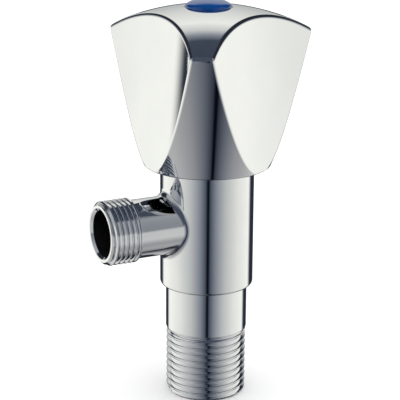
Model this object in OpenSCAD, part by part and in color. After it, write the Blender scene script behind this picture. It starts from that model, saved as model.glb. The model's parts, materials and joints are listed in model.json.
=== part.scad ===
// Quarter-turn angle stop valve with a three-sided handle.
// Millimetres. The origin is the centre of the inlet's end face. +Z runs up the body's axis,
// and the outlet spout points along -X. The handle turns about +Z: 0 is shut, 90 degrees is open.

/* [Inlet] */
// Outside diameter of the inlet thread
inlet_thread_d = 20.955; // [20.6:0.005:21]
// Pitch of the inlet thread
inlet_pitch = 1.814; // [1.6:0.002:1.9]
// Length of the inlet thread from the end face
inlet_thread_length = 18; // [14:0.5:20]
// Diameter of the plain shank above the thread
shank_d = 21.3; // [21.3:0.1:22.4]
// Diameter of the water passage up the shank
inlet_bore_d = 13; // [11:0.5:15]

/* [Body] */
// Outside diameter of the body
body_d = 24.4; // [24.2:0.1:24.8]
// Height of the body's lower edge
body_bottom = 30.2; // [28:0.1:31]
// Height of the body's rim under the handle
body_top = 66; // [66:0.1:66.4]
// Diameter of the chamber round the headwork
chamber_d = 18.8; // [18.6:0.1:18.8]

/* [Outlet] */
// Outside diameter of the outlet thread
outlet_thread_d = 16.662; // [16.4:0.002:16.8]
// Pitch of the outlet thread
outlet_pitch = 1.337; // [1.2:0.001:1.4]
// Length of the outlet thread from the mouth
outlet_thread_length = 8.2; // [7:0.2:11]
// Diameter of the plain neck behind the thread
outlet_neck_d = 15.2; // [15:0.1:15.8]
// Distance from the body's axis to the outlet's mouth
outlet_reach = 30.3; // [28:0.1:34]
// Height of the outlet's axis
outlet_height = 47.5; // [46:0.1:48]
// Diameter of the outlet's mouth
outlet_bore_d = 12; // [11:0.5:12.5]

/* [Handle] */
// Height of the handle's lower rim
handle_bottom = 62.5; // [61:0.5:63]
// Height of the handle's shoulder, where the dome starts
handle_shoulder = 94.8; // [94:0.1:96]
// Height of the dome's highest point
handle_apex = 103.6; // [103:0.1:104.5]
// Radius out to a corner at the lower rim
handle_bottom_r = 16.4; // [16.4:0.1:17.2]
// Radius out to a corner at the shoulder
handle_shoulder_r = 28.8; // [28:0.1:30]
// How far the corners bow outwards between rim and shoulder, as a share of their spread
handle_bow = 0.02; // [0:0.01:0.2]
// Radius of the domed top
dome_r = 59; // [55:0.5:70]
// Distance from the axis to the middle of a side, at the lower rim
face_bottom = 16.3; // [16.2:0.1:16.6]
// Distance from the axis to the middle of a side, at the shoulder
face_top = 13.7; // [13.4:0.1:15]
// Radius of a side's hollow curve
face_curve_r = 88; // [75:1:130]
// Wall thickness of the handle
handle_wall = 2; // [1.8:0.1:2.2]

/* [Index button] */
// Diameter of the button's rim
button_d = 11.6; // [11:0.1:12]
// Height of the button's rim above the handle
button_side = 0.2; // [0.1:0.1:0.8]
// Height of the button's crown above its rim
button_crown = 1.8; // [1.4:0.1:2.4]

/* [Headwork] */
// Diameter of the spindle
spindle_d = 8; // [7.8:0.1:8]
// Width across the flats of the hexagon
hexagon_width = 18; // [17:0.5:19]
// Diameter of the ceramic discs' housing, inside
housing_d = 15.1; // [15:0.1:15.2]
// Angle that one port of a ceramic disc spans
port_angle = 80; // [70:1:84]

/* [Hidden] */
$fn = 96;

corners = 3;
cut = 1;                       // how far a cutting shape runs past the face it opens
running = 0.05;                // radial clearance of a shaft in its hole
slack = 0.02;                  // gap between faces that slide or seal on each other

// Threads
inlet_depth = 0.64 * inlet_pitch;
outlet_depth = 0.64 * outlet_pitch;
bonnet_pitch = 1;
bonnet_depth = 0.6;
bonnet_turns = 8;
bonnet_thread_r = chamber_d / 2 + bonnet_depth;
bonnet_thread_z = body_top - 9.8;
o_ring_recess = 1.6;           // depth of the recess for the bonnet's ring in the body's rim
o_ring_recess_r = body_d / 2 - 0.8;
bonnet_neck_r = 10;
lead_in = 1.1;                 // length of the bevel that starts a thread

// Water passages
seat_z = 38.2;
seat_r = 5;
outlet_throat_r = 5;
outlet_throat_x = -15;

// Headwork heights, upwards
disc_thick = 3;
fixed_disc_z = 40.4;
rotating_disc_z = fixed_disc_z + disc_thick + slack;
driver_z = 50;
collar_top = 53.3;
shoulder_z = 54;
lower_ring_z = 57;
upper_ring_z = 61;
hexagon_top = 71.5;
ledge_z = 74.6;
crown_top = 76;
spline_bottom = 78;
spline_top = 90.2;
web_bottom = 90.6;
web_top = 92.6;
button_seat_z = handle_apex - 1.6;

// Headwork radii
housing_r = housing_d / 2;
housing_wall = 0.75;
disc_r = housing_r - 0.35;
port_inner_r = 2.2;
port_outer_r = 5.8;
spindle_r = spindle_d / 2;
ring_tube_r = 0.85;
ring_centre_r = spindle_r - ring_tube_r;
crown_r = 6.2;
crown_recess_r = 5.3;
stop_lug_angle = 20;
stop_margin = 2;
travel = 90;
flat_offset = 3.3;             // distance from the axis to each flat of the spindle's stop section
circlip_groove_r = 3.25;
spline_teeth = 20;
spline_depth = 0.4;
blade_width = 3;
blade_length = 10.8;
blade_bottom = rotating_disc_z + disc_thick - 1.2;

// Handle
hub_r = 7.8;
hub_bottom = 77.4;
recess_r = 5.1;
button_r = button_d / 2;
insert_width = 11;
screw_r = 1.95;
lean = atan((face_bottom - face_top) / (handle_shoulder - handle_bottom));

// Outline points of one annular thread: a core with evenly spaced crests, starting at height z.
function thread_outline(crest_r, depth, pitch, turns, z) = concat(
    [[0, z]],
    [for (turn = [0 : turns - 1], corner = [0 : 3])
        [crest_r - (corner == 0 || corner == 3 ? depth : 0),
         z + pitch * (turn + [0.05, 0.4, 0.65, 1][corner])]],
    [[0, z + pitch * turns]]
);

// Radius out to a handle corner at height z.
function corner_radius(z) =
    let (rise = (z - handle_bottom) / (handle_shoulder - handle_bottom))
    handle_bottom_r + (handle_shoulder_r - handle_bottom_r) * (rise + handle_bow * rise * (1 - rise));

// A thread with a bevelled start at z = 0, running up to the given length.
module threaded_rod(crest_r, depth, pitch, length) {
    turns = floor(length / pitch);
    rotate_extrude()
        intersection() {
            translate([0, length - turns * pitch])
                polygon(thread_outline(crest_r, depth, pitch, turns, 0));
            polygon([[0, 0], [crest_r - depth, 0], [crest_r + 0.1, lead_in + 0.1],
                     [crest_r + 0.1, length], [0, length]]);
        }
    cylinder(r = crest_r - depth, h = length - pitch * 0.5);
}

module tube(outer_r, inner_r, height) {
    difference() {
        cylinder(r = outer_r, h = height);
        translate([0, 0, -cut]) cylinder(r = inner_r, h = height + 2 * cut);
    }
}

// A slice of a ring, centred on +X.
module sector(inner_r, outer_r, angle, height) {
    reach = 2 * outer_r;
    intersection() {
        tube(outer_r, inner_r, height);
        linear_extrude(height)
            polygon(concat([[0, 0]], [for (step = [-2 : 2])
                [reach * cos(step * angle / 4), reach * sin(step * angle / 4)]]));
    }
}

// Star outline of the spline, grown outwards by the given amount.
module spline(grow, height) {
    linear_extrude(height)
        polygon([for (step = [0 : 4 * spline_teeth - 1])
            let (r = spline_r(step) + grow, a = step * 90 / spline_teeth) [r * cos(a), r * sin(a)]]);
}

function spline_r(step) = spindle_r - running - (step % 4 < 2 ? 0 : spline_depth);

// Spindle section with two flats, which keeps the stop washer from turning.
module flatted_shaft(grow, height) {
    intersection() {
        cylinder(r = spindle_r + grow, h = height);
        translate([-spindle_r - cut, -flat_offset - grow, 0])
            cube([2 * (spindle_r + cut), 2 * (flat_offset + grow), height]);
    }
}

// ---- Fixed pieces ----

module valve_body() {
    color([0.86, 0.87, 0.88])
        difference() {
            union() {
                threaded_rod(inlet_thread_d / 2, inlet_depth, inlet_pitch, inlet_thread_length);
                translate([0, 0, inlet_thread_length - inlet_pitch * 0.5])
                    cylinder(d = shank_d, h = body_bottom - inlet_thread_length + 2);
                body_barrel();
                spout();
            }
            inlet_passage();
            headwork_chamber();
            outlet_passage();
        }
}

module body_barrel() {
    edge = 0.3;
    rotate_extrude()
        polygon([[0, body_bottom], [body_d / 2 - 2 * edge, body_bottom], [body_d / 2, body_bottom + 2 * edge],
                 [body_d / 2, body_top - edge], [body_d / 2 - edge, body_top], [0, body_top]]);
}

module spout() {
    translate([-outlet_reach, 0, outlet_height])
        rotate([0, 90, 0]) {
            threaded_rod(outlet_thread_d / 2, outlet_depth, outlet_pitch, outlet_thread_length);
            translate([0, 0, outlet_thread_length - outlet_pitch * 0.5])
                cylinder(d = outlet_neck_d, h = outlet_reach - outlet_thread_length - chamber_d / 4);
        }
}

module inlet_passage() {
    mouth = 0.8;
    rotate_extrude()
        polygon([[0, -cut], [inlet_bore_d / 2 + mouth, -cut], [inlet_bore_d / 2 + mouth, 0],
                 [inlet_bore_d / 2, mouth], [inlet_bore_d / 2, seat_z - 4],
                 [seat_r, seat_z - 2], [seat_r, seat_z + cut], [0, seat_z + cut]]);
}

module headwork_chamber() {
    translate([0, 0, seat_z]) cylinder(d = chamber_d, h = body_top - seat_z + cut);
    rotate_extrude()
        polygon(thread_outline(bonnet_thread_r + running, bonnet_depth, bonnet_pitch,
                               bonnet_turns, bonnet_thread_z));
    translate([0, 0, body_top - o_ring_recess]) cylinder(r = o_ring_recess_r, h = o_ring_recess + cut);
}

module outlet_passage() {
    mouth = 0.6;
    translate([0, 0, outlet_height])
        rotate([0, -90, 0])
            rotate_extrude()
                polygon([[0, 0], [outlet_throat_r, 0], [outlet_throat_r, -outlet_throat_x],
                         [outlet_bore_d / 2, 1.5 - outlet_throat_x],
                         [outlet_bore_d / 2, outlet_reach - mouth],
                         [outlet_bore_d / 2 + mouth, outlet_reach],
                         [outlet_bore_d / 2 + mouth, outlet_reach + cut], [0, outlet_reach + cut]]);
}

module bonnet() {
    housing_bottom = fixed_disc_z - 0.5;
    flange_top = body_top + 1.3;
    color([0.78, 0.66, 0.36])
        difference() {
            union() {
                translate([0, 0, housing_bottom])
                    cylinder(r = housing_r + housing_wall, h = bonnet_thread_z - housing_bottom + cut);
                rotate_extrude()
                    polygon(thread_outline(bonnet_thread_r, bonnet_depth, bonnet_pitch,
                                           bonnet_turns, bonnet_thread_z));
                translate([0, 0, bonnet_thread_z])
                    cylinder(r = bonnet_thread_r - bonnet_depth - running, h = body_top - bonnet_thread_z);
                translate([0, 0, body_top - o_ring_recess]) cylinder(r = bonnet_neck_r, h = o_ring_recess);
                translate([0, 0, body_top]) cylinder(d = body_d - 1, h = flange_top - body_top);
                translate([0, 0, flange_top])
                    cylinder(d = hexagon_width / cos(30), h = hexagon_top - flange_top, $fn = 6);
                cylinder_between(crown_r, hexagon_top - cut, crown_top);
            }
            cylinder_between(housing_r, housing_bottom - cut, shoulder_z);
            cylinder_between(spindle_r + running, shoulder_z - cut, crown_top + cut);
            cylinder_between(crown_recess_r, ledge_z, crown_top + cut);
            for (side = [0, 180]) rotate(side) side_window();
            for (side = [90, 270]) rotate(side) disc_key_slot(housing_bottom);
            stop_slot();
        }
}

module cylinder_between(r, low, high) {
    translate([0, 0, low]) cylinder(r = r, h = high - low);
}

module side_window() {
    translate([0, 0, rotating_disc_z + 0.8])
        sector(housing_r - 0.5, chamber_d, 96, 7.4);
}

module disc_key_slot(low) {
    translate([housing_r - 0.5, -1.5, low - cut]) cube([3, 3, disc_thick + 0.5 + cut]);
}

module stop_slot() {
    opening = travel + stop_lug_angle + 2 * stop_margin;
    translate([0, 0, ledge_z])
        rotate(travel / 2)
            sector(spindle_r, 2 * crown_r, opening, crown_top - ledge_z + cut);
}

module bonnet_o_ring() {
    tube_r = (o_ring_recess_r - bonnet_neck_r) / 2 - slack;
    color([0.08, 0.08, 0.08])
        translate([0, 0, body_top - o_ring_recess / 2])
            rotate_extrude() translate([(o_ring_recess_r + bonnet_neck_r) / 2, 0]) circle(tube_r);
}

module disc_ports(rim_r) {
    for (side = [0, 180])
        rotate(side)
            translate([0, 0, -cut]) sector(port_inner_r, rim_r, port_angle, disc_thick + 2 * cut);
}

module fixed_disc() {
    key_width = 2.9;
    color([0.93, 0.92, 0.88])
        translate([0, 0, fixed_disc_z])
            difference() {
                union() {
                    cylinder(r = housing_r - running, h = disc_thick);
                    translate([-key_width / 2, -housing_r - housing_wall + 0.1, 0])
                        cube([key_width, 2 * (housing_r + housing_wall - 0.1), disc_thick]);
                }
                disc_ports(port_outer_r);
            }
}

module lip_seal() {
    step_z = fixed_disc_z - 0.55;
    color([0.1, 0.1, 0.1])
        difference() {
            union() {
                cylinder_between(housing_r + 0.6, seat_z + slack, step_z);
                cylinder_between(housing_r - running, step_z, fixed_disc_z - slack);
            }
            cylinder_between(port_outer_r + 0.1, seat_z - cut, fixed_disc_z + cut);
        }
}

module seal_support_ring() {
    color([0.9, 0.9, 0.9])
        translate([0, 0, seat_z + 0.2])
            tube(port_outer_r + 0.05, port_outer_r - 0.5, fixed_disc_z - seat_z - 0.4);
}

// ---- Turning pieces ----

module rotating_disc() {
    color([0.93, 0.92, 0.88])
        translate([0, 0, rotating_disc_z])
            difference() {
                cylinder(r = disc_r, h = disc_thick);
                rotate(90) disc_ports(disc_r + cut);
                translate([-blade_length / 2 - 0.1, -blade_width / 2 - running, disc_thick - 1.3])
                    cube([blade_length + 0.2, blade_width + 2 * running, 1.3 + cut]);
            }
}

module spindle() {
    groove_height = 2 * ring_tube_r + 0.1;
    color([0.78, 0.66, 0.36])
        difference() {
            union() {
                translate([-blade_length / 2, -blade_width / 2, blade_bottom])
                    cube([blade_length, blade_width, driver_z - blade_bottom + cut]);
                cylinder_between(disc_r, driver_z, collar_top);
                cylinder_between(spindle_r, collar_top - cut, ledge_z - 0.1);
                translate([0, 0, ledge_z - 0.2]) flatted_shaft(-running, 1.3);
                cylinder_between(circlip_groove_r, ledge_z, crown_top + 0.6);
                cylinder_between(spindle_r, crown_top + 0.55, spline_bottom);
                translate([0, 0, spline_bottom]) spline(0, spline_top - spline_bottom);
            }
            for (low = [lower_ring_z, upper_ring_z])
                translate([0, 0, low])
                    tube(spindle_r + cut, ring_centre_r - ring_tube_r - slack, groove_height);
            cylinder_between(screw_r + running, spline_bottom + 2, spline_top + cut);
        }
}

module spindle_o_ring(low) {
    color([0.08, 0.08, 0.08])
        translate([0, 0, low + ring_tube_r + 0.05])
            rotate_extrude() translate([ring_centre_r, 0]) circle(ring_tube_r);
}

module upper_o_ring() {
    spindle_o_ring(upper_ring_z);
}

module lower_o_ring() {
    spindle_o_ring(lower_ring_z);
}

module thrust_washer() {
    color([0.92, 0.92, 0.9])
        translate([0, 0, collar_top + slack])
            tube(disc_r, spindle_r + running, shoulder_z - collar_top - 0.06);
}

module stop_washer() {
    thick = 1;
    color([0.7, 0.7, 0.72])
        translate([0, 0, ledge_z + slack])
            difference() {
                union() {
                    cylinder(r = crown_recess_r - 0.3, h = thick);
                    sector(spindle_r + 0.5, crown_r - 0.1, stop_lug_angle, thick);
                }
                translate([0, 0, -cut]) flatted_shaft(running, thick + 2 * cut);
            }
}

module circlip() {
    thick = 0.7;
    color([0.6, 0.6, 0.62])
        translate([0, 0, ledge_z + 1.15])
            difference() {
                tube(crown_recess_r - 0.3, circlip_groove_r + 0.02, thick);
                rotate(180) translate([0, 0, -cut]) sector(1, 2 * crown_r, 50, thick + 2 * cut);
            }
}

module spline_insert() {
    color([0.92, 0.92, 0.92])
        translate([0, 0, spline_bottom + 0.2])
            difference() {
                cylinder(d = insert_width / cos(30), h = web_bottom - spline_bottom - 0.2, $fn = 6);
                translate([0, 0, -cut]) spline(running, 2 * (spline_top - spline_bottom));
            }
}

// Outer form of the handle, with every surface moved inwards by the given inset.
module handle_form(inset) {
    steps = 8;
    bottom = handle_bottom - (inset > 0 ? cut : 0);
    heights = [for (step = [0 : steps]) bottom + (handle_shoulder + 2 - bottom) * step / steps];
    difference() {
        intersection() {
            rotate_extrude()
                polygon(concat([[0, bottom]],
                               [for (z = heights) [corner_radius(z) - inset, z]],
                               [[handle_shoulder_r - inset - 2, handle_apex], [0, handle_apex]]));
            translate([0, 0, handle_apex - dome_r]) sphere(r = dome_r - inset, $fn = 200);
        }
        for (corner = [0 : corners - 1])
            rotate(60 + corner * 360 / corners) side_hollow(inset);
    }
}

// The large cylinder that hollows one side, leaning in towards the top.
module side_hollow(inset) {
    translate([face_bottom, 0, handle_bottom])
        rotate([0, -lean, 0])
            translate([face_curve_r, 0, -20])
                cylinder(r = face_curve_r + inset, h = 80, $fn = 360);
}

module handle() {
    color([0.86, 0.87, 0.88])
        difference() {
            union() {
                difference() {
                    handle_form(0);
                    handle_form(handle_wall);
                }
                cylinder_between(hub_r, hub_bottom, handle_apex - handle_wall);
            }
            translate([0, 0, hub_bottom - cut])
                cylinder(d = (insert_width + 2 * running) / cos(30),
                         h = web_bottom - hub_bottom + cut, $fn = 6);
            cylinder_between(screw_r + 0.2, hub_bottom, web_top + cut);
            cylinder_between(recess_r, web_top, handle_apex + cut);
            cylinder_between(button_r + running, button_seat_z, handle_apex + cut);
        }
}

module index_button() {
    rim_z = handle_apex - dome_r + sqrt(dome_r * dome_r - button_r * button_r) + button_side;
    color([0.05, 0.2, 0.65]) {
        cylinder_between(button_r, button_seat_z + slack, rim_z);
        translate([0, 0, rim_z])
            rotate_extrude()
                polygon(concat([[0, -0.1], [button_r, -0.1]],
                               [for (a = [0 : 7.5 : 90]) [button_r * cos(a), button_crown * sin(a)]]));
        translate([0, 0, button_seat_z - 3]) tube(recess_r - running, recess_r - 1, 3.1);
    }
}

module handle_screw() {
    head_z = web_top + 0.9;
    head_r = 3.8;
    head_height = 2.7;
    color([0.7, 0.7, 0.72])
        difference() {
            union() {
                cylinder_between(screw_r, spline_bottom + 3.5, head_z + cut);
                cylinder_between(head_r, head_z, head_z + head_height);
            }
            for (turn = [0, 90])
                rotate(turn)
                    translate([-2, -0.4, head_z + head_height - 1.5]) cube([4, 0.8, 1.5 + cut]);
        }
}

module lock_washer() {
    color([0.6, 0.6, 0.62])
        translate([0, 0, web_top + slack])
            difference() {
                tube(3.7, screw_r + 0.15, 0.86);
                rotate(40) translate([0, -0.3, -cut]) cube([5, 0.6, 3]);
            }
}

valve_body();
bonnet();
bonnet_o_ring();
fixed_disc();
lip_seal();
seal_support_ring();
handle();
index_button();
handle_screw();
lock_washer();
spline_insert();
spindle();
circlip();
stop_washer();
upper_o_ring();
lower_o_ring();
thrust_washer();
rotating_disc();
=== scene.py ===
"""Looks for a quarter-turn angle stop valve with a three-sided chromed handle.

Shapes are worked out in millimetres in the CAD frame and stored in metres. The visible shells are
built from grids whose vertex normals come from the surface's own formula, so that the polished
chrome reflects without ripples. The headwork inside keeps its CAD meshes.
"""
import json
import math

import bpy
import numpy as np
from mathutils import Matrix, Vector

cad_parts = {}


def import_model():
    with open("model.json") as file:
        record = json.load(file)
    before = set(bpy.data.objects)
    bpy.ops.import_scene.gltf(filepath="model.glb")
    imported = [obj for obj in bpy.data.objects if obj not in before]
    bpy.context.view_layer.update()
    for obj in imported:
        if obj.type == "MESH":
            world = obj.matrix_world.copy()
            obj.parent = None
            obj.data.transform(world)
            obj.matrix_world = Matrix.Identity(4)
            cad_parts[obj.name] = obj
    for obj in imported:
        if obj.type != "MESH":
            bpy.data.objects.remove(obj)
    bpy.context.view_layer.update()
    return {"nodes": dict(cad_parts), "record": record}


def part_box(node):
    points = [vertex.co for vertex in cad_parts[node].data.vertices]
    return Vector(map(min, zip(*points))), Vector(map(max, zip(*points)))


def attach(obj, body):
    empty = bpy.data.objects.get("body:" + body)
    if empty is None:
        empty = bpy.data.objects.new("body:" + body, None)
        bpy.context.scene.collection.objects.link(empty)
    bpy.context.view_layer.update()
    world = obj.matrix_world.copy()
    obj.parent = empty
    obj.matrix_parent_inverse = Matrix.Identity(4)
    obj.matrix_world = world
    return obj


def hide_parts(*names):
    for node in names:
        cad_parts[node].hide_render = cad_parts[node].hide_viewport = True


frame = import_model()
MM = 0.001


def node_range(node, axis):
    """Lowest and highest coordinate of a CAD node along an axis, in millimetres."""
    low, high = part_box(node)
    return low[axis] / MM, high[axis] / MM


def mount(name):
    """A mount's position and sizes, in millimetres."""
    entry = next(m for m in frame["record"]["mounts"] if m["name"] == name)
    return [value / MM for value in entry["pos_m"]], entry["dims"]


# ---- Sizes, in millimetres ----

INLET_PITCH = 1.814
INLET_THREAD_TOP = 18.0
SHANK_R = 10.65
INLET_BORE_R = 6.5
INLET_BEVEL = 0.85
INLET_CREST_R = mount("inlet_thread")[1]["r_mm"]

BODY_R = node_range("valve_body", 1)[1]
BODY_BOTTOM = 30.2
BODY_EDGE_R = 0.8
BODY_TOP = node_range("valve_body", 2)[1]
CHAMBER_R = 9.4
RING_BORE_R = BODY_R - 0.8
SEAT_Z = 38.2
SEAT_R = 5.0
SEAT_NECK = 4.0             # below the seat, where the inlet's bore starts to narrow
BODY_TOP_EDGE = 0.3
SOCKET_DEPTH = 9.8
SOCKET_R = 10.06
RING_DEPTH = 1.6

OUTLET_PITCH = 1.337
OUTLET_THREAD_LENGTH = 8.2
OUTLET_NECK_R = 7.6
OUTLET_BORE_R = 6.0
OUTLET_THROAT_R = 5.0
OUTLET_THROAT_END = 15.0
OUTLET_FILLET = 2.0
OUTLET_CREST_R = mount("outlet_thread")[1]["r_mm"]
OUTLET_Z = mount("outlet_thread")[0][2]
OUTLET_REACH = -node_range("valve_body", 0)[0]

HANDLE_BOTTOM = node_range("handle", 2)[0]
HANDLE_SHOULDER = 94.8
HANDLE_APEX = 103.6
HANDLE_BOTTOM_R = 16.4
HANDLE_SHOULDER_R = 28.8
HANDLE_BOW = 0.02
DOME_R = 59.0
FACE_BOTTOM = 16.3
FACE_TOP = 13.7
FACE_CURVE_R = 88.0
HANDLE_WALL = 2.0
SIDE_EDGE_R = 0.8
FACE_TOP_EDGE_R = 1.1
CORNER_TOP_EDGE_R = 1.4
RIM_EDGE_R = 0.35
BUTTON_SEAT_R = 5.85
BUTTON_SEAT_Z = HANDLE_APEX - 1.6
BUTTON_SIDE = 0.2
RECESS_R = 5.1
WEB_TOP = 92.6
WEB_BOTTOM = 90.6
SCREW_HOLE_R = 2.15
HUB_R = 7.8
HUB_BOTTOM = 77.4
HUB_EDGE = 0.3
INSERT_WIDTH = 11.1

BUTTON_R = node_range("index_button", 0)[1]
BUTTON_TOP = node_range("index_button", 2)[1]

CORNERS = 3


# ---- Mesh building ----

class Shell:
    """Collects grids of points with their normals, and welds them into one mesh."""

    def __init__(self):
        self.points = []
        self.faces = []
        self.loop_normals = []
        self.finishes = []
        self.finish = 0
        self.count = 0

    def add(self, points, normals):
        """points and normals are arrays of rows x columns x 3. The faces turn to face their normals.

        They take the material that the finish attribute numbers at the time.
        """
        rows, columns = points.shape[:2]
        index = self.count + np.arange(rows * columns).reshape(rows, columns)
        quads = np.stack([index[:-1, :-1], index[:-1, 1:], index[1:, 1:], index[1:, :-1]], -1).reshape(-1, 4)
        flat_points = points.reshape(-1, 3)
        flat_normals = normals.reshape(-1, 3)
        local = quads - self.count
        corners = flat_points[local]
        facing = np.cross(corners[:, 2] - corners[:, 0], corners[:, 3] - corners[:, 1])
        outward = (facing * flat_normals[local].mean(1)).sum(1) >= 0
        quads = np.where(outward[:, None], quads, quads[:, ::-1])
        self.points.append(flat_points)
        self.faces.append(quads)
        self.loop_normals.append(flat_normals[quads - self.count])
        self.finishes.append(np.full(len(quads), self.finish))
        self.count += rows * columns

    def build(self, name):
        """Welds the grids, drops faces that have shrunk away, and makes the object."""
        points = np.concatenate(self.points)
        quads = np.concatenate(self.faces)
        normals = np.concatenate(self.loop_normals)
        finishes = np.concatenate(self.finishes)
        keys, weld = np.unique(np.round(points, 4), axis=0, return_inverse=True)
        weld = weld.reshape(-1)
        faces = []
        kept_normals = []
        kept_finishes = []
        for corners, corner_normals, finish in zip(weld[quads], normals, finishes):
            keep = [i for i in range(4) if corners[i] != corners[i - 1]]
            if len(keep) > 2 and len(set(corners[keep])) == len(keep):
                faces.append([int(corners[i]) for i in keep])
                kept_normals.extend(corner_normals[i] for i in keep)
                kept_finishes.append(int(finish))
        mesh = bpy.data.meshes.new(name)
        mesh.from_pydata([tuple(p) for p in keys * MM], [], faces)
        mesh.polygons.foreach_set("use_smooth", [True] * len(faces))
        mesh.polygons.foreach_set("material_index", kept_finishes)
        lengths = np.linalg.norm(kept_normals, axis=1, keepdims=True)
        mesh.normals_split_custom_set((np.array(kept_normals) / lengths).tolist())
        mesh.update()
        piece = bpy.data.objects.new(name, mesh)
        bpy.context.scene.collection.objects.link(piece)
        return piece


def rounded_runs(corners, arc_steps=6):
    """Splits an outline of (r, z, rounding) corners into straight and round runs.

    Each run is (points, normals) in the r-z plane. Normals point to the right of the direction of travel.
    """
    corners = [np.array(c, float) for c in corners]
    runs = []
    start = corners[0][:2]
    for before, corner, after in zip(corners, corners[1:], corners[2:]):
        into = (corner[:2] - before[:2]) / np.linalg.norm(corner[:2] - before[:2])
        out = (after[:2] - corner[:2]) / np.linalg.norm(after[:2] - corner[:2])
        turn = math.acos(max(-1.0, min(1.0, float(into @ out))))
        trim = corner[2] * math.tan(turn / 2)
        runs.append(straight_run(start, corner[:2] - into * trim))
        if trim > 0:
            steps = [i / arc_steps for i in range(arc_steps + 1)]
            side = math.copysign(1, into[0] * out[1] - into[1] * out[0])
            right = np.array([into[1], -into[0]])
            centre = corner[:2] - into * trim - side * right * corner[2]
            normals = np.array([rotate_2d(right, side * turn * s) for s in steps])
            runs.append((centre + side * normals * corner[2], normals))
        start = corner[:2] + out * trim
    runs.append(straight_run(start, corners[-1][:2]))
    return [run for run in runs if np.linalg.norm(run[0][-1] - run[0][0]) > 1e-6]


def rotate_2d(vector, angle):
    c, s = math.cos(angle), math.sin(angle)
    return np.array([c * vector[0] - s * vector[1], s * vector[0] + c * vector[1]])


def straight_run(start, end):
    start, end = np.array(start, float), np.array(end, float)
    length = np.linalg.norm(end - start)
    steps = max(1, int(math.ceil(length / 2.5)))
    share = np.linspace(0, 1, steps + 1)[:, None]
    along = (end - start) / max(length, 1e-9)
    normal = np.array([along[1], -along[0]])
    return start + (end - start) * share, np.repeat(normal[None], steps + 1, 0)


def to_upright(radius, angle, height):
    """Cylindrical to Cartesian about the body's axis."""
    return np.stack([radius * np.cos(angle), radius * np.sin(angle), height + 0 * angle], -1)


def to_spout(radius, angle, distance):
    """Cylindrical to Cartesian about the outlet's axis; distance runs out along -X."""
    return np.stack([-distance + 0 * angle, radius * np.cos(angle), OUTLET_Z + radius * np.sin(angle)], -1)


def to_spout_direction(radial, angle, along):
    return np.stack([-along + 0 * angle, radial * np.cos(angle), radial * np.sin(angle)], -1)


def revolve(shell, corners, angles, place=to_upright, direct=to_upright):
    """Turns a rounded outline about an axis, with one column per angle."""
    for points, normals in rounded_runs(corners):
        radius, angle = np.meshgrid(points[:, 0], angles, indexing="ij")
        height = np.meshgrid(points[:, 1], angles, indexing="ij")[0]
        radial = np.meshgrid(normals[:, 0], angles, indexing="ij")[0]
        axial = np.meshgrid(normals[:, 1], angles, indexing="ij")[0]
        shell.add(place(radius, angle, height), direct(radial, angle, axial))


def flat_ring(shell, inner_r, outer_r, z, angles, rows=2):
    """A flat ring that faces down, between two radii, either of which may change with the angle."""
    share = np.linspace(0, 1, rows)[:, None]
    ring = to_upright(inner_r + (outer_r - inner_r) * share + 0 * angles, angles + 0 * share, z + 0 * share)
    shell.add(ring, np.broadcast_to([0, 0, -1.0], ring.shape))


def inner_wall(shell, radius, start_z, end_z, angles, rows):
    """An upright wall that faces the axis."""
    share = np.linspace(0, 1, rows)[:, None]
    angle = angles + 0 * share
    wall = to_upright(radius + 0 * angle, angle, start_z + (end_z - start_z) * share)
    shell.add(wall, -to_upright(1 + 0 * angle, angle, 0 * angle))


# ---- Threads ----

def whitworth_radius(phase, crest_r, pitch):
    """Radius of a rounded 55-degree thread at a phase from 0 to 1 along one pitch; the crest is at 0.5."""
    depth = 0.6403 * pitch
    rounding = 0.1373 * pitch
    offset = np.abs(phase - 0.5) * pitch
    flank = math.radians(27.5)
    crest_end = rounding * math.cos(flank)
    crest_arc = crest_r - rounding + np.sqrt(np.maximum(rounding**2 - offset**2, 0))
    root_offset = pitch / 2 - offset
    root_arc = crest_r - depth + rounding - np.sqrt(np.maximum(rounding**2 - root_offset**2, 0))
    crest_end_r = crest_r - rounding + rounding * math.sin(flank)
    slope = crest_end_r - (offset - crest_end) / math.tan(flank)
    return np.where(offset < crest_end, crest_arc, np.where(root_offset < crest_end, root_arc, slope))


def thread(shell, crest_r, pitch, low, high, angles, place, bevel, fade):
    """A helical thread between two heights, as rows that follow the helix and stop at the two ends.

    The start at low is bevelled, and the groove runs out to nothing over the fade length below high.
    """
    rising = np.array([0, 0.07, 0.13, 0.2, 0.28, 0.36, 0.4, 0.44, 0.47, 0.5])
    phases = np.concatenate([rising, 1 - rising[-2:0:-1]])
    turns = int(math.ceil((high - low) / pitch)) + 2
    first = -int(math.ceil(angles.max() / (2 * math.pi))) - 1
    last = turns - int(math.floor(angles.min() / (2 * math.pi)))
    rows = np.concatenate([phases + turn for turn in range(first, last)])
    turn_share = angles / (2 * math.pi)

    def surface(row, share, angle):
        height = np.clip(low + pitch * (row + share), low, high)
        phase = np.mod((height - low) / pitch - share, 1.0)
        radius = whitworth_radius(phase, crest_r, pitch)
        blend = np.clip((high - height) / fade, 0, 1)
        blend = blend * blend * (3 - 2 * blend)
        radius = crest_r - (crest_r - radius) * blend
        radius = np.minimum(radius, crest_r - bevel + (height - low) * 1.0)
        return place(radius, angle, height)

    row, share = np.meshgrid(rows, turn_share, indexing="ij")
    angle = np.meshgrid(rows, angles, indexing="ij")[1]
    points = surface(row, share, angle)
    step = 1e-3
    along_row = surface(row + step, share, angle) - surface(row - step, share, angle)
    turn_step = step / (2 * math.pi)
    across = surface(row, share + turn_step, angle + step) - surface(row, share - turn_step, angle - step)
    normals = np.cross(along_row, across)
    outward = place(1.0 + 0 * row, angle, low + 0 * row) - place(0 * row, angle, low + 0 * row)
    normals *= np.sign((normals * outward).sum(-1, keepdims=True))
    flat = np.linalg.norm(normals, axis=-1, keepdims=True) < 1e-9
    normals = np.where(flat, outward, normals)
    shell.add(points, normals)


# ---- Valve body ----

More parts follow.
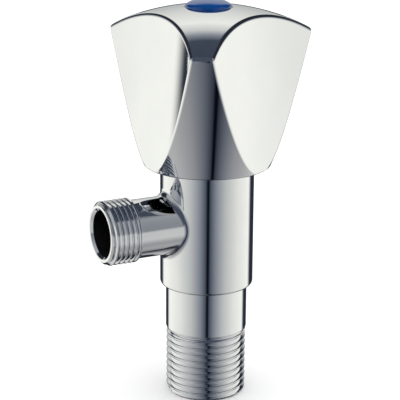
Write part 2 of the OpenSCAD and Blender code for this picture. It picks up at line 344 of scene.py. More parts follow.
CHROME, SHADE_PAINTED_BORE = 0, 1  # the body's two materials: chrome, and a near-black bore colour that is painted shade inside the passages

AROUND = 132         # columns round the barrel along its upper and lower edge
UPRIGHT = 26         # columns down each side of the barrel's unrolled sheet


def barrel_frame(low, high):
    """Boundary of the barrel's unrolled sheet as angles about the body's axis and heights.

    The sheet is slit opposite the spout, so the spout's hole is in its middle.
    """
    turn = np.linspace(-math.pi, math.pi, AROUND + 1)
    rise = np.linspace(low, high, UPRIGHT + 1)
    angle = np.concatenate([turn[:-1], np.full(UPRIGHT, math.pi), turn[:0:-1], np.full(UPRIGHT, -math.pi)])
    height = np.concatenate([np.full(AROUND, low), rise[:-1], np.full(AROUND, high), rise[:0:-1]])
    return angle, height, turn


def spout_angles(low, high):
    """Angle about the outlet's axis of each boundary column, so that the sheet fans out evenly."""
    angle, height, _ = barrel_frame(low, high)
    across = angle * BODY_R
    t = np.unwrap(np.arctan2(height - OUTLET_Z, across * 0.6))
    return np.append(t, t[0] + 2 * math.pi)


def on_barrel(radius, sheet_angle, height):
    """Sheet angles are measured from the spout's side, where the outlet points along -X."""
    around = math.pi - sheet_angle
    return np.stack([radius * np.cos(around), radius * np.sin(around), height], -1)


def pierced_barrel(shell, radius, low, high, hole_y, hole_z, inward, rows=44):
    """A barrel wall between two heights with a hole whose edge passes through (hole_y, hole_z)."""
    angle, height, _ = barrel_frame(low, high)
    angle, height = np.append(angle, angle[0]), np.append(height, height[0])
    hole_angle = np.arcsin(np.clip(hole_y / radius, -1, 1))
    share = np.linspace(0, 1, rows)[:, None] ** 1.25
    sheet_angle = hole_angle + (angle - hole_angle) * share
    sheet_height = hole_z + (height - hole_z) * share
    points = on_barrel(radius, sheet_angle, sheet_height)
    normals = on_barrel(np.full_like(sheet_angle, -1.0 if inward else 1.0), sheet_angle, 0 * sheet_angle)
    shell.add(points, normals)


def valve_body():
    shell = Shell()
    barrel_low, barrel_high = BODY_BOTTOM + BODY_EDGE_R, BODY_TOP - BODY_TOP_EDGE
    t = spout_angles(barrel_low, barrel_high)
    upright = math.pi - barrel_frame(barrel_low, barrel_high)[2]

    # Rolling-ball fillet between the barrel and the spout's neck
    ball_r = OUTLET_NECK_R + OUTLET_FILLET
    ball_y, ball_z = ball_r * np.cos(t), ball_r * np.sin(t)
    ball_x = np.sqrt((BODY_R + OUTLET_FILLET) ** 2 - ball_y**2)
    neck_normal = np.stack([0 * t, np.cos(t), np.sin(t)], -1)
    barrel_normal = np.stack([-ball_x, ball_y, 0 * t], -1) / (BODY_R + OUTLET_FILLET)
    spread = np.arccos((neck_normal * barrel_normal).sum(-1))
    share = np.linspace(0, 1, 13)[:, None]
    weights = np.sin((1 - share) * spread) / np.sin(spread), np.sin(share * spread) / np.sin(spread)
    normals = weights[0][..., None] * neck_normal + weights[1][..., None] * barrel_normal
    centres = np.stack([-ball_x, ball_y, OUTLET_Z + ball_z], -1)
    shell.add(centres - normals * OUTLET_FILLET, normals)

    contact = ball_y * BODY_R / (BODY_R + OUTLET_FILLET)
    pierced_barrel(shell, BODY_R, barrel_low, barrel_high, contact, OUTLET_Z + ball_z, inward=False)

    # Neck, from the fillet out to the thread
    neck_end = OUTLET_REACH - OUTLET_THREAD_LENGTH
    run = np.linspace(0, 1, 7)[:, None]
    distance = ball_x + (neck_end - ball_x) * run
    neck_y, neck_z = OUTLET_NECK_R * np.cos(t), OUTLET_Z + OUTLET_NECK_R * np.sin(t)
    neck_points = np.stack([-distance, neck_y + 0 * distance, neck_z + 0 * distance], -1)
    shell.add(neck_points, np.repeat(neck_normal[None], 7, 0))

    outlet_thread(shell, t, neck_end)
    outlet_bore(shell, t)
    inlet_side(shell, upright)
    headwork_socket(shell, upright, t)

    piece = shell.build("valve_body_shell")
    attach(piece, "body")
    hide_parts("valve_body")
    return piece


def outlet_thread(shell, t, neck_end):
    collar = 0.25
    top = OUTLET_REACH - neck_end - collar
    crest = OUTLET_CREST_R

    def place(radius, angle, height):
        return to_spout(radius, angle, OUTLET_REACH - height)

    thread(shell, crest, OUTLET_PITCH, 0.0, top, t, place, 1.0, 1.0)
    outline = [(OUTLET_NECK_R, neck_end, 0),
               (crest - 0.12, neck_end, 0.08),
               (crest, neck_end + 0.12, 0.05),
               (crest, neck_end + collar, 0)]
    revolve(shell, outline, t, to_spout, to_spout_direction)


def outlet_bore(shell, t):
    mouth = 0.6
    revolve(shell, [(OUTLET_CREST_R - 1.0, OUTLET_REACH, 0),
                    (OUTLET_BORE_R + mouth, OUTLET_REACH, 0.12),
                    (OUTLET_BORE_R, OUTLET_REACH - mouth, 0)], t, to_spout, to_spout_direction)
    # From the mouth inwards the outlet passage is near-black: painted shade for the dark inside of the bore.
    shell.finish = SHADE_PAINTED_BORE
    revolve(shell, [(OUTLET_BORE_R, OUTLET_REACH - mouth, 0),
                    (OUTLET_BORE_R, OUTLET_THROAT_END + 1.5, 0.2),
                    (OUTLET_THROAT_R, OUTLET_THROAT_END, 0.2),
                    (OUTLET_THROAT_R, OUTLET_THROAT_END - 2, 0)], t, to_spout, to_spout_direction)
    y, z = OUTLET_THROAT_R * np.cos(t), OUTLET_THROAT_R * np.sin(t)
    wall_x = np.sqrt(CHAMBER_R**2 - y**2)
    run = np.linspace(0, 1, 4)[:, None]
    distance = wall_x + (OUTLET_THROAT_END - 2 - wall_x) * run
    points = np.stack([-distance, y + 0 * distance, OUTLET_Z + z + 0 * distance], -1)
    inward = -np.stack([0 * t, np.cos(t), np.sin(t)], -1)
    shell.add(points, np.repeat(inward[None], 4, 0))
    shell.finish = CHROME


def inlet_side(shell, upright):
    """Barrel's lower edge, shank, inlet thread, end face and the passage up to the seat."""
    thread_top = INLET_THREAD_TOP
    outside = [(INLET_CREST_R, thread_top, 0),
               (SHANK_R, thread_top + 0.25, 0.1),
               (SHANK_R, BODY_BOTTOM, 0.1),
               (BODY_R, BODY_BOTTOM, BODY_EDGE_R),
               (BODY_R, BODY_BOTTOM + BODY_EDGE_R, 0)]
    revolve(shell, outside, upright)
    thread(shell, INLET_CREST_R, INLET_PITCH, 0.0, thread_top, upright, to_upright, INLET_BEVEL, 1.4)
    mouth = 0.8
    end_face = [(INLET_BORE_R, mouth, 0),
                (INLET_BORE_R + mouth, 0, 0.15),
                (INLET_CREST_R - INLET_BEVEL, 0, 0)]
    revolve(shell, end_face, upright)
    # From here on, the inlet passage and the socket under the handle are near-black: painted shade for the
    # dark insides.
    shell.finish = SHADE_PAINTED_BORE
    passage = [(CHAMBER_R, SEAT_Z, 0),
               (SEAT_R, SEAT_Z, 0.1),
               (SEAT_R, SEAT_Z - SEAT_NECK / 2, 0.3),
               (INLET_BORE_R, SEAT_Z - SEAT_NECK, 0.3),
               (INLET_BORE_R, mouth, 0)]
    revolve(shell, passage, upright)


def headwork_socket(shell, upright, t):
    """Chamber wall, thread bore and rim, all covered by the handle."""
    chamber_top = BODY_TOP - SOCKET_DEPTH
    throat_y, throat_z = OUTLET_THROAT_R * np.cos(t), OUTLET_Z + OUTLET_THROAT_R * np.sin(t)
    pierced_barrel(shell, CHAMBER_R, SEAT_Z, chamber_top, throat_y, throat_z, inward=True, rows=24)
    outline = [(BODY_R, BODY_TOP - BODY_TOP_EDGE, 0),
               (BODY_R - BODY_TOP_EDGE, BODY_TOP, 0.1),
               (RING_BORE_R, BODY_TOP, 0.1),
               (RING_BORE_R, BODY_TOP - RING_DEPTH, 0.1),
               (SOCKET_R, BODY_TOP - RING_DEPTH, 0.1),
               (SOCKET_R, chamber_top, 0.05),
               (CHAMBER_R, chamber_top, 0)]
    revolve(shell, outline, upright)


# ---- Handle ----

def corner_radius(z):
    rise = (z - HANDLE_BOTTOM) / (HANDLE_SHOULDER - HANDLE_BOTTOM)
    return HANDLE_BOTTOM_R + (HANDLE_SHOULDER_R - HANDLE_BOTTOM_R) * (rise + HANDLE_BOW * rise * (1 - rise))


LEAN = math.atan((FACE_BOTTOM - FACE_TOP) / (HANDLE_SHOULDER - HANDLE_BOTTOM))
FACE_AXIS = np.array([-math.sin(LEAN), 0, math.cos(LEAN)])
FACE_CENTRE = np.array([FACE_BOTTOM + FACE_CURVE_R * math.cos(LEAN),
                        0,
                        HANDLE_BOTTOM + FACE_CURVE_R * math.sin(LEAN)])


def flank_distance(p, inset):
    slope = (corner_radius(p[..., 2] + 0.5) - corner_radius(p[..., 2] - 0.5))
    return (np.hypot(p[..., 0], p[..., 1]) - corner_radius(p[..., 2]) + inset) / np.sqrt(1 + slope**2)


def dome_distance(p, inset):
    return np.linalg.norm(p - np.array([0, 0, HANDLE_APEX - DOME_R]), axis=-1) - DOME_R + inset


def face_distance(p, inset):
    """Distance outside the hollow side that faces +X in the handle sector's own frame."""
    q = p - FACE_CENTRE
    q = q - (q @ FACE_AXIS)[..., None] * FACE_AXIS
    return FACE_CURVE_R + inset - np.linalg.norm(q, axis=-1)


def gradient(field, p):
    step = 1e-3
    parts = []
    for axis in np.eye(3):
        parts.append((field(p + axis * step) - field(p - axis * step)) / (2 * step))
    return np.stack(parts, -1)


def rounded_cut(a, b, depth):
    """The common part of two solids, with its edge rounded off; depth is how far in the rounding reaches."""
    u = np.maximum(a + depth, 0)
    v = np.maximum(b + depth, 0)
    return np.minimum(np.maximum(a, b), -depth) + np.hypot(u, v)


def rounding_depth(normal_a, normal_b, edge_r):
    return edge_r * (1 - (normal_a * normal_b).sum(-1)) + 1e-4


def handle_field(p, inset):
    """Signed distance-like field of one sector of the handle, with every edge rounded."""
    flank = flank_distance(p, inset)
    face = face_distance(p, inset)
    dome = dome_distance(p, inset)
    flank_n = gradient_of(p, "flank")
    face_n = gradient_of(p, "face")
    dome_n = gradient_of(p, "dome")
    side = rounded_cut(flank, face, rounding_depth(flank_n, face_n, SIDE_EDGE_R))
    corner_share = np.clip((flank - face + 1.0) / 2.0, 0, 1)
    corner_share = corner_share * corner_share * (3 - 2 * corner_share)
    side_n = flank_n * corner_share[..., None] + face_n * (1 - corner_share[..., None])
    side_n /= np.linalg.norm(side_n, axis=-1, keepdims=True)
    edge_r = FACE_TOP_EDGE_R + (CORNER_TOP_EDGE_R - FACE_TOP_EDGE_R) * corner_share
    whole = rounded_cut(side, dome, rounding_depth(side_n, dome_n, edge_r))
    if inset > 0:
        return whole
    return rounded_cut(whole, HANDLE_BOTTOM - p[..., 2], RIM_EDGE_R)


def gradient_of(p, kind):
    """Unit normals of the three simple surfaces, from their own formulas."""
    if kind == "flank":
        slope = corner_radius(p[..., 2] + 0.5) - corner_radius(p[..., 2] - 0.5)
        r = np.hypot(p[..., 0], p[..., 1])
        n = np.stack([p[..., 0] / r, p[..., 1] / r, -slope], -1)
    elif kind == "dome":
        n = p - np.array([0, 0, HANDLE_APEX - DOME_R])
    else:
        q = FACE_CENTRE - p
        n = q - (q @ FACE_AXIS)[..., None] * FACE_AXIS
    return n / np.linalg.norm(n, axis=-1, keepdims=True)


def face_radius(angle, z, inset):
    """Distance from the handle's axis to the hollow side, at an angle from that side's middle."""
    direction = np.stack([np.cos(angle), np.sin(angle), 0 * angle], -1)
    base = np.stack([0 * z, 0 * z, z], -1) - FACE_CENTRE
    base = base - (base @ FACE_AXIS)[..., None] * FACE_AXIS
    direction = direction - (direction @ FACE_AXIS)[..., None] * FACE_AXIS
    a = (direction**2).sum(-1)
    b = (direction * base).sum(-1)
    c = (base**2).sum(-1) - (FACE_CURVE_R + inset) ** 2
    return (-b - np.sqrt(np.maximum(b * b - a * c, 0))) / a


def edge_angle(z, inset):
    """Angle from a side's middle to where it meets the corner band."""
    low, high = np.zeros_like(z), np.full_like(z, math.pi / CORNERS)
    for _ in range(40):
        middle = (low + high) / 2
        inside = face_radius(middle, z, inset) < corner_radius(z) - inset
        low, high = np.where(inside, middle, low), np.where(inside, high, middle)
    return (low + high) / 2


# Distances either side of an edge at which the mesh has a line, in millimetres
EDGE_STEPS = np.array([0.06, 0.13, 0.21, 0.31, 0.45, 0.65, 0.95])
FACE_COLUMNS, BAND_COLUMNS = 20, 10
SIDE_ROWS, DOME_ROWS = 34, 30


def sector_columns(z, inset):
    """Angles of one half sector's columns at each height in z, from the side's middle to the corner's."""
    reach = EDGE_STEPS[-1]
    r = corner_radius(z) - inset
    edge = edge_angle(z, inset)
    half = math.pi / CORNERS
    face = [share * (edge - reach / r) for share in np.linspace(0, 1, FACE_COLUMNS + 1)[:-1]]
    near = [edge + step / r for step in np.concatenate([-EDGE_STEPS[::-1], [0], EDGE_STEPS])]
    start = edge + reach / r
    band = [start + share * (half - start) for share in np.linspace(0, 1, BAND_COLUMNS + 1)[1:]]
    return np.stack(face + near + band, -1)


def settle(p, inset, rounds=14):
    """Moves points onto the rounded surface and returns them with their normals."""
    def field(q):
        return handle_field(q, inset)

    for _ in range(rounds):
        slope = gradient(field, p)
        p = p - (field(p) / np.maximum((slope**2).sum(-1), 0.05))[..., None] * slope
    slope = gradient(field, p)
    return p, slope / np.linalg.norm(slope, axis=-1, keepdims=True)


def half_sector(inset, inner_r):
    """Grid of one half sector, from the rim's inner edge, up the side and in over the dome to inner_r."""
    columns = sector_columns(np.array([HANDLE_BOTTOM]), inset).shape[-1]

    def side_point(z):
        """One point per column, z being one height per column."""
        angle = np.diagonal(sector_columns(z, inset))
        radius = np.minimum(corner_radius(z) - inset, face_radius(angle, z, inset))
        return angle, radius

    top = np.full(columns, HANDLE_SHOULDER)
    for _ in range(25):
        angle, radius = side_point(top)
        top = HANDLE_APEX - DOME_R + np.sqrt((DOME_R - inset) ** 2 - radius**2)
    steps_up = np.concatenate([[0], EDGE_STEPS])
    steps_down = np.concatenate([[3.4, 2.7, 2.1, 1.7, 1.3], EDGE_STEPS[::-1], [0]])
    rows = [HANDLE_BOTTOM + step + 0 * top for step in steps_up]
    low, high = HANDLE_BOTTOM + steps_up[-1], top - steps_down[0]
    rows += [low + (high - low) * share for share in np.linspace(0, 1, SIDE_ROWS + 1)[1:-1]]
    rows += [top - step for step in steps_down]
    angle, radius = side_point(rows[0])
    rim_radii = [radius - step for step in EDGE_STEPS[::-1]]
    points = [np.stack([r * np.cos(angle), r * np.sin(angle), rows[0]], -1) for r in rim_radii if inset == 0]
    for z in rows:
        angle, radius = side_point(z)
        points.append(np.stack([radius * np.cos(angle), radius * np.sin(angle), z], -1))
    angle, radius = side_point(top)
    dome_steps = np.concatenate([EDGE_STEPS, [1.3, 1.7, 2.1, 2.7, 3.4]])
    dome_radii = [radius - step for step in dome_steps]
    start = dome_radii[-1]
    dome_radii += [start + (inner_r - start) * share for share in np.linspace(0, 1, DOME_ROWS + 1)[1:]]
    for r in dome_radii:
        z = HANDLE_APEX - DOME_R + np.sqrt((DOME_R - inset) ** 2 - r**2)
        points.append(np.stack([r * np.cos(angle), r * np.sin(angle), z], -1))
    grid, normals = settle(np.array(points), inset)
    last = np.hypot(grid[-1, :, 0], grid[-1, :, 1])
    grid[-1, :, :2] *= (inner_r / last)[:, None]
    grid[-1, :, 2] = HANDLE_APEX - DOME_R + math.sqrt((DOME_R - inset) ** 2 - inner_r**2)
    grid[0, :, 2] = HANDLE_BOTTOM
    return grid, normals


def whole_handle(shell, inset, inner_r, inward):
    """Adds all sectors of one skin of the handle.

    Returns the rim's points and the columns' angles at the dome's inner circle.
    """
    half, half_normals = half_sector(inset, inner_r)
    mirror = np.array([1, -1, 1])
    grid = np.concatenate([half[:, ::-1] * mirror, half[:, 1:]], 1)
    normals = np.concatenate([half_normals[:, ::-1] * mirror, half_normals[:, 1:]], 1)
    if inward:
        normals = -normals
    rim = []
    angles = []
    for sector in range(CORNERS):
        turn = math.radians(60 + sector * 360 / CORNERS)
        c, s = math.cos(turn), math.sin(turn)
        spin = np.array([[c, -s, 0], [s, c, 0], [0, 0, 1]])
        shell.add(grid @ spin.T, normals @ spin.T)
        rim.append(grid[0] @ spin.T)
        angles.append(np.arctan2(grid[-1, :, 1], grid[-1, :, 0]) + turn)
    return np.concatenate(rim), np.concatenate([a[:-1] for a in angles] + [angles[-1][-1:]])


def handle():
    shell = Shell()
    outer_rim, angles = whole_handle(shell, 0.0, BUTTON_SEAT_R + 0.2, inward=False)
    inner_rim, inner_angles = whole_handle(shell, HANDLE_WALL, HUB_R, inward=True)
    share = np.linspace(0, 1, 4)[:, None, None]
    rim = outer_rim + (inner_rim - outer_rim) * share
    shell.add(rim, np.broadcast_to([0, 0, -1.0], rim.shape))

    def dome_z(r, inset):
        return HANDLE_APEX - DOME_R + math.sqrt((DOME_R - inset) ** 2 - r**2)

    seat_edge = BUTTON_SEAT_R + 0.2
    recess = [(SCREW_HOLE_R, WEB_BOTTOM, 0),
              (SCREW_HOLE_R, WEB_TOP, 0.1),
              (RECESS_R, WEB_TOP, 0.2),
              (RECESS_R, BUTTON_SEAT_Z, 0.1),
              (BUTTON_SEAT_R, BUTTON_SEAT_Z, 0.1),
              (BUTTON_SEAT_R, dome_z(BUTTON_SEAT_R, 0), 0.12),
              (seat_edge, dome_z(seat_edge, 0), 0)]
    revolve(shell, recess, angles)

    # Hexagonal socket for the spline insert, and the hub's outside
    hexagon = INSERT_WIDTH / 2 / np.cos(np.mod(inner_angles, math.pi / 3) - math.pi / 6)
    flat_ring(shell, SCREW_HOLE_R, hexagon, WEB_BOTTOM, inner_angles)
    inner_wall(shell, hexagon, WEB_BOTTOM, HUB_BOTTOM, inner_angles, 2)
    flat_ring(shell, hexagon, HUB_R - HUB_EDGE, HUB_BOTTOM, inner_angles)
    outside = [(HUB_R - HUB_EDGE, HUB_BOTTOM, 0),
               (HUB_R, HUB_BOTTOM + HUB_EDGE, 0.1),
               (HUB_R, dome_z(HUB_R, HANDLE_WALL), 0)]
    revolve(shell, outside, inner_angles)

    piece = shell.build("handle_shell")
    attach(piece, "handle")
    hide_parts("handle")
    return piece


# ---- Index button ----

def index_button():
    """A low domed button on a tube that snaps into the handle's recess."""
    shell = Shell()
    rim_z = HANDLE_APEX - DOME_R + math.sqrt(DOME_R**2 - BUTTON_R**2) + BUTTON_SIDE
    crown = BUTTON_TOP - rim_z
    angles = np.linspace(0, 2 * math.pi, 97)
    tube_r, tube_bottom, seat = RECESS_R - 0.05, BUTTON_SEAT_Z - 3, BUTTON_SEAT_Z + 0.02
    revolve(shell, [(tube_r - 1, tube_bottom, 0), (tube_r, tube_bottom, 0.2), (tube_r, seat, 0.05),
                    (BUTTON_R, seat, 0.1), (BUTTON_R, rim_z, 0)], angles)
    lift = np.linspace(0, math.pi / 2, 30)
    lean = np.arctan2(np.sin(lift) / crown, np.cos(lift) / BUTTON_R)
    r, a = np.meshgrid(BUTTON_R * np.cos(lift), angles, indexing="ij")
    z = np.meshgrid(rim_z + crown * np.sin(lift), angles, indexing="ij")[0]
    tilt = np.meshgrid(lean, angles, indexing="ij")[0]
    shell.add(to_upright(r, a, z), to_upright(np.cos(tilt), a, np.sin(tilt)))
    inner_wall(shell, tube_r - 1, tube_bottom, seat, angles, 3)
    flat_ring(shell, tube_r - 1, 0, seat, angles, 3)
    piece = shell.build("index_button_cap")
    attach(piece, "handle")
    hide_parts("index_button")
    return piece


# ---- Materials ----

BUMP_DEPTH = 0.0002  # metres


def new_material(name):
    material = bpy.data.materials.new(name)
    material.use_nodes = True
    tree = material.node_tree
    tree.nodes.clear()
    output = tree.nodes.new("ShaderNodeOutputMaterial")
    shader = tree.nodes.new("ShaderNodeBsdfPrincipled")
    tree.links.new(shader.outputs["BSDF"], output.inputs["Surface"])
    return material, tree, shader


def noise(tree, scale, detail=3.0):
    """Noise in the object's own space; scale is in features per metre."""
    where = tree.nodes.new("ShaderNodeTexCoord")
    texture = tree.nodes.new("ShaderNodeTexNoise")
    texture.inputs["Scale"].default_value = scale
    texture.inputs["Detail"].default_value = detail
    texture.inputs["Roughness"].default_value = 0.5
    tree.links.new(where.outputs["Object"], texture.inputs["Vector"])
    return texture.outputs["Fac"]


def between(tree, factor, low, high):
    """Maps a 0 to 1 factor onto two colours or two numbers."""
    ramp = tree.nodes.new("ShaderNodeValToRGB")
    ramp.color_ramp.elements[0].position = 0.3
    ramp.color_ramp.elements[1].position = 0.7
    for element, value in zip(ramp.color_ramp.elements, (low, high)):
        element.color = (*value, 1) if isinstance(value, tuple) else (value, value, value, 1)
    tree.links.new(factor, ramp.inputs["Fac"])
    return ramp.outputs["Color"]


def bump(tree, shader, height, strength):
    node = tree.nodes.new("ShaderNodeBump")
    node.inputs["Strength"].default_value = strength
    node.inputs["Distance"].default_value = BUMP_DEPTH
    tree.links.new(height, node.inputs["Height"])
    tree.links.new(node.outputs["Normal"], shader.inputs["Normal"])


def surface(name, colours, roughness, scale, metallic=0.0, bump_strength=0.0, coat=0.0):
    """A material whose colour and roughness drift between two values."""
    material, tree, shader = new_material(name)
    shader.inputs["Metallic"].default_value = metallic
    shader.inputs["Coat Weight"].default_value = coat
    factor = noise(tree, scale)
    tree.links.new(between(tree, factor, *colours), shader.inputs["Base Color"])
    tree.links.new(between(tree, noise(tree, scale * 1.7), *roughness), shader.inputs["Roughness"])
    if bump_strength:
        bump(tree, shader, noise(tree, scale * 4, 4), bump_strength)
    return material


def apply(piece, *materials):
    finishes = [polygon.material_index for polygon in piece.data.polygons]
    piece.data.materials.clear()
    for material in materials:
        piece.data.materials.append(material)
    if len(materials) > 1:
        piece.data.polygons.foreach_set("material_index", finishes)


CHROME_COLOURS = (0.86, 0.87, 0.89), (0.89, 0.90, 0.915)
CHROME_ROUGHNESS = 0.035, 0.06

MATERIALS = {
    "chrome_body": surface(
        "chrome_body", CHROME_COLOURS, CHROME_ROUGHNESS, metallic=1.0, scale=120),
    "chrome_handle": surface(
        "chrome_handle", CHROME_COLOURS, CHROME_ROUGHNESS, metallic=1.0, scale=90),
    # Near-black colour painted as the shade inside the bores; its roughness and bumps are the real dull cast
    # surface.
    "bore_painted_shade": surface(
        "bore_painted_shade", ((0.035, 0.036, 0.04), (0.06, 0.06, 0.065)), (0.4, 0.55),
        metallic=1.0, scale=500, bump_strength=0.1),
    "blue_button": surface(
        "blue_button", ((0.0005, 0.035, 0.16), (0.001, 0.045, 0.2)), (0.06, 0.12), scale=400, coat=0.5),
    "brass": surface(
        "brass", ((0.72, 0.55, 0.25), (0.82, 0.65, 0.33)), (0.2, 0.34),
        metallic=1.0, scale=500, bump_strength=0.05),
    "steel": surface(
        "steel", ((0.55, 0.56, 0.58), (0.66, 0.66, 0.68)), (0.22, 0.38),
        metallic=1.0, scale=700, bump_strength=0.05),
    "black_rubber": surface(
        "black_rubber", ((0.012, 0.012, 0.013), (0.028, 0.028, 0.03)), (0.5, 0.72),
        scale=900, bump_strength=0.15),
    "white_nylon": surface(
        "white_nylon", ((0.74, 0.73, 0.69), (0.82, 0.81, 0.77)), (0.42, 0.58),
        scale=600, bump_strength=0.08),
    "ceramic": surface(
        "ceramic", ((0.83, 0.82, 0.78), (0.88, 0.87, 0.84)), (0.18, 0.3),
        scale=800, bump_strength=0.02),
}


def dress_headwork():
    """Carried-over CAD nodes take the material of their slot in the record."""
    for entry in frame["record"]["subparts"]:
        apply(frame["nodes"][entry["node"]], MATERIALS[entry["material_slot"]])


# ---- Studio ----

SENSOR = 36.0
LENS = 140.8
CAMERA_PITCH = math.radians(16.95)
CAMERA_ROLL = math.radians(0.4)
CAMERA_TURN = math.radians(27)      # how far the camera stands round from square-on to the spout's side
CAMERA_BACK = 390.0
CAMERA_SIDE = -1.8
CAMERA_HEIGHT = 171.4


# The studio's brightness, from 0 to 1 as displayed, against degrees. The slit is the dark gap in
# the white tent that the camera looks through, and the angles across the tent are measured from it.
SLIT_AZIMUTH = 3.0
SLIT_AZIMUTH_LOW = 13.0
ROOM_LIGHT = 1.35
ACROSS_TENT = [(0, 0.05), (2, 0.09), (5, 0.3), (20, 0.55), (45, 0.77), (80, 0.92), (120, 1.0)]
UP_THE_FRONT = [(0, 0.7), (45, 0.66), (58, 0.26), (90, 0.25)]
UP_THE_BACK = [(0, 0.7), (15, 0.82), (38, 0.96), (46, 0.82), (51, 0.56), (56, 0.28), (90, 0.25)]
FRONT_LEVEL = 0.3
CARD_LEVEL = 0.16
FLAG_LEVEL = 0.19
FLAG_AZIMUTH = -4.0
LOW_TINT = (0.55, 0.55, 0.58)
GROUND_TINT = (0.22, 0.23, 0.26)


def camera():
    data = bpy.data.cameras.new("camera")
    data.sensor_width = SENSOR
    data.lens = LENS
    data.clip_end = 50
    piece = bpy.data.objects.new("camera", data)
    bpy.context.scene.collection.objects.link(piece)
    # In the photographer's frame the camera looks along +Y. The valve is turned in that frame,
    # so in the valve's own frame the camera turns the other way.
    turn = Matrix.Rotation(-CAMERA_TURN, 4, "Z")
    place = Matrix.Translation(Vector((CAMERA_SIDE, -CAMERA_BACK, CAMERA_HEIGHT)) * MM)
    tilt = Matrix.Rotation(math.pi / 2 - CAMERA_PITCH, 4, "X")
    roll = Matrix.Rotation(CAMERA_ROLL, 4, "Z")
    piece.matrix_world = turn @ place @ tilt @ roll
    bpy.context.scene.camera = piece


def stage():
    bpy.ops.mesh.primitive_plane_add(size=12, location=(0, 0, 0))
    floor = bpy.context.object
    floor.name = "floor"
    material, tree, shader = new_material("floor_white")
    shader.inputs["Roughness"].default_value = 0.9
    colour = between(tree, noise(tree, 3), (0.9, 0.9, 0.9), (0.92, 0.92, 0.92))
    tree.links.new(colour, shader.inputs["Base Color"])
    apply(floor, material)
    floor.visible_glossy = False


def cool(level):
    """Linear light for a displayed level, bluer the darker it is."""
    shade = max(0.0, 1 - level) ** 2
    shown = (level * (1 - 0.2 * shade), level, level * (0.97 + 0.45 * shade))
    return tuple(v / 12.92 if v < 0.04 else ((v + 0.055) / 1.055) ** 2.4 for v in shown)


class Sky:
    """Builds the studio's brightness from the direction that a reflection looks in."""

    def __init__(self, tree):
        self.tree = tree

    def math(self, operation, *values):
        node = self.tree.nodes.new("ShaderNodeMath")
        node.operation = operation
        for socket, value in zip(node.inputs, values):
            if isinstance(value, (int, float)):
                socket.default_value = value
            else:
                self.tree.links.new(value, socket)
        return node.outputs[0]

    def step(self, value, low, high):
        """Smooth 0 to 1 as value goes from low to high."""
        node = self.tree.nodes.new("ShaderNodeMapRange")
        node.interpolation_type = "SMOOTHSTEP"
        flip = low > high
        node.inputs["From Min"].default_value = min(low, high)
        node.inputs["From Max"].default_value = max(low, high)
        node.inputs["To Min"].default_value = 1 if flip else 0
        node.inputs["To Max"].default_value = 0 if flip else 1
        self.tree.links.new(value, node.inputs["Value"])
        return node.outputs["Result"]

    def ramp(self, value, stops):
        """Levels at stops that start from 0 degrees."""
        node = self.tree.nodes.new("ShaderNodeValToRGB")
        elements = node.color_ramp.elements
        while len(elements) < len(stops):
            elements.new(0.5)
        span = stops[-1][0]
        for element, (position, level) in zip(elements, stops):
            element.position = position / span
            element.color = (*cool(level), 1)
        self.tree.links.new(self.math("DIVIDE", value, span), node.inputs["Fac"])
        return node.outputs["Color"]

    def mix(self, share, low, high, blend="MIX"):
        node = self.tree.nodes.new("ShaderNodeMix")
        node.data_type = "RGBA"
        node.blend_type = blend
        for socket, value in zip((node.inputs[0], node.inputs[6], node.inputs[7]), (share, low, high)):
            if isinstance(value, (int, float)):
                socket.default_value = value
            elif isinstance(value, tuple):
                socket.default_value = (*value, 1)
            else:
                self.tree.links.new(value, socket)
        return node.outputs[2]


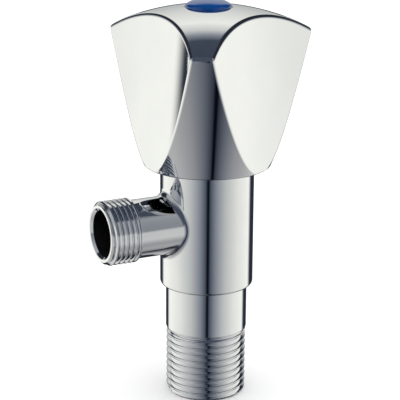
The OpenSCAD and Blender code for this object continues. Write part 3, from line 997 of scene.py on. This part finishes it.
def world():
    """Soft white studio.

    Reflections see a bright tent with a dark slit at the camera, dark flags behind, and dark
    cards at the sides above. All other rays see an even white.
    """
    studio = bpy.data.worlds.new("studio")
    bpy.context.scene.world = studio
    studio.use_nodes = True
    tree = studio.node_tree
    sky = Sky(tree)
    direction = tree.nodes.new("ShaderNodeTexCoord").outputs["Generated"]
    turned = tree.nodes.new("ShaderNodeVectorRotate")
    turned.rotation_type = "Z_AXIS"
    turned.inputs["Angle"].default_value = CAMERA_TURN
    tree.links.new(direction, turned.inputs["Vector"])
    parts = tree.nodes.new("ShaderNodeSeparateXYZ")
    tree.links.new(turned.outputs["Vector"], parts.inputs["Vector"])
    x, y, z = parts.outputs
    # Degrees round from the camera's side, positive to its right, and degrees above the horizon
    azimuth = sky.math("DEGREES", sky.math("ARCTAN2", x, sky.math("MULTIPLY", y, -1.0)))
    elevation = sky.math("DEGREES", sky.math("ARCSINE", z))
    low = sky.step(elevation, -24, -50)
    slit = sky.math("MULTIPLY_ADD", low, SLIT_AZIMUTH_LOW - SLIT_AZIMUTH, SLIT_AZIMUTH)
    away = sky.math("ABSOLUTE", sky.math("SUBTRACT", azimuth, slit))

    # Below the horizon: the tent across, darker towards the ground
    tent = sky.ramp(away, ACROSS_TENT)
    tent = sky.mix(low, tent, LOW_TINT, "MULTIPLY")
    tent = sky.mix(sky.step(elevation, -58, -72), tent, GROUND_TINT, "MULTIPLY")

    # Above it: front and back by elevation, the dark front over the camera, and the two dark cards
    above = sky.mix(sky.step(away, 110, 150),
                    sky.ramp(elevation, UP_THE_FRONT),
                    sky.ramp(elevation, UP_THE_BACK))
    above = sky.mix(sky.step(away, 75, 20), above, cool(FRONT_LEVEL))
    card_up = sky.math("MULTIPLY", sky.step(elevation, 6, 14), sky.step(elevation, 60, 50))
    card_across = sky.math("MULTIPLY", sky.step(away, 95, 110), sky.step(away, 158, 146))
    above = sky.mix(sky.math("MULTIPLY", card_up, card_across), above, cool(CARD_LEVEL))
    tent = sky.mix(sky.step(elevation, -4, 5), tent, above)

    # Two dark flags stand behind the valve: a wide one low down, and a narrow one up to the horizon
    behind = sky.math("ABSOLUTE", sky.math("SUBTRACT", azimuth, FLAG_AZIMUTH))
    wide = sky.math("MULTIPLY", sky.step(behind, 125, 140), sky.step(elevation, -12.8, -15))
    narrow = sky.math("MULTIPLY", sky.step(away, 141, 153), sky.step(elevation, 3, -3))
    tent = sky.mix(sky.math("MAXIMUM", wide, narrow), tent, cool(FLAG_LEVEL))
    path = tree.nodes.new("ShaderNodeLightPath")
    light = sky.mix(path.outputs["Is Glossy Ray"], (ROOM_LIGHT, ROOM_LIGHT, ROOM_LIGHT), tent)
    background = tree.nodes["Background"]
    tree.links.new(light, background.inputs["Color"])
    background.inputs["Strength"].default_value = 1.0


dress_headwork()
apply(valve_body(), MATERIALS["chrome_body"], MATERIALS["bore_painted_shade"])
apply(handle(), MATERIALS["chrome_handle"])
apply(index_button(), MATERIALS["blue_button"])
camera()
stage()
world()
bpy.context.scene.view_settings.view_transform = "Standard"
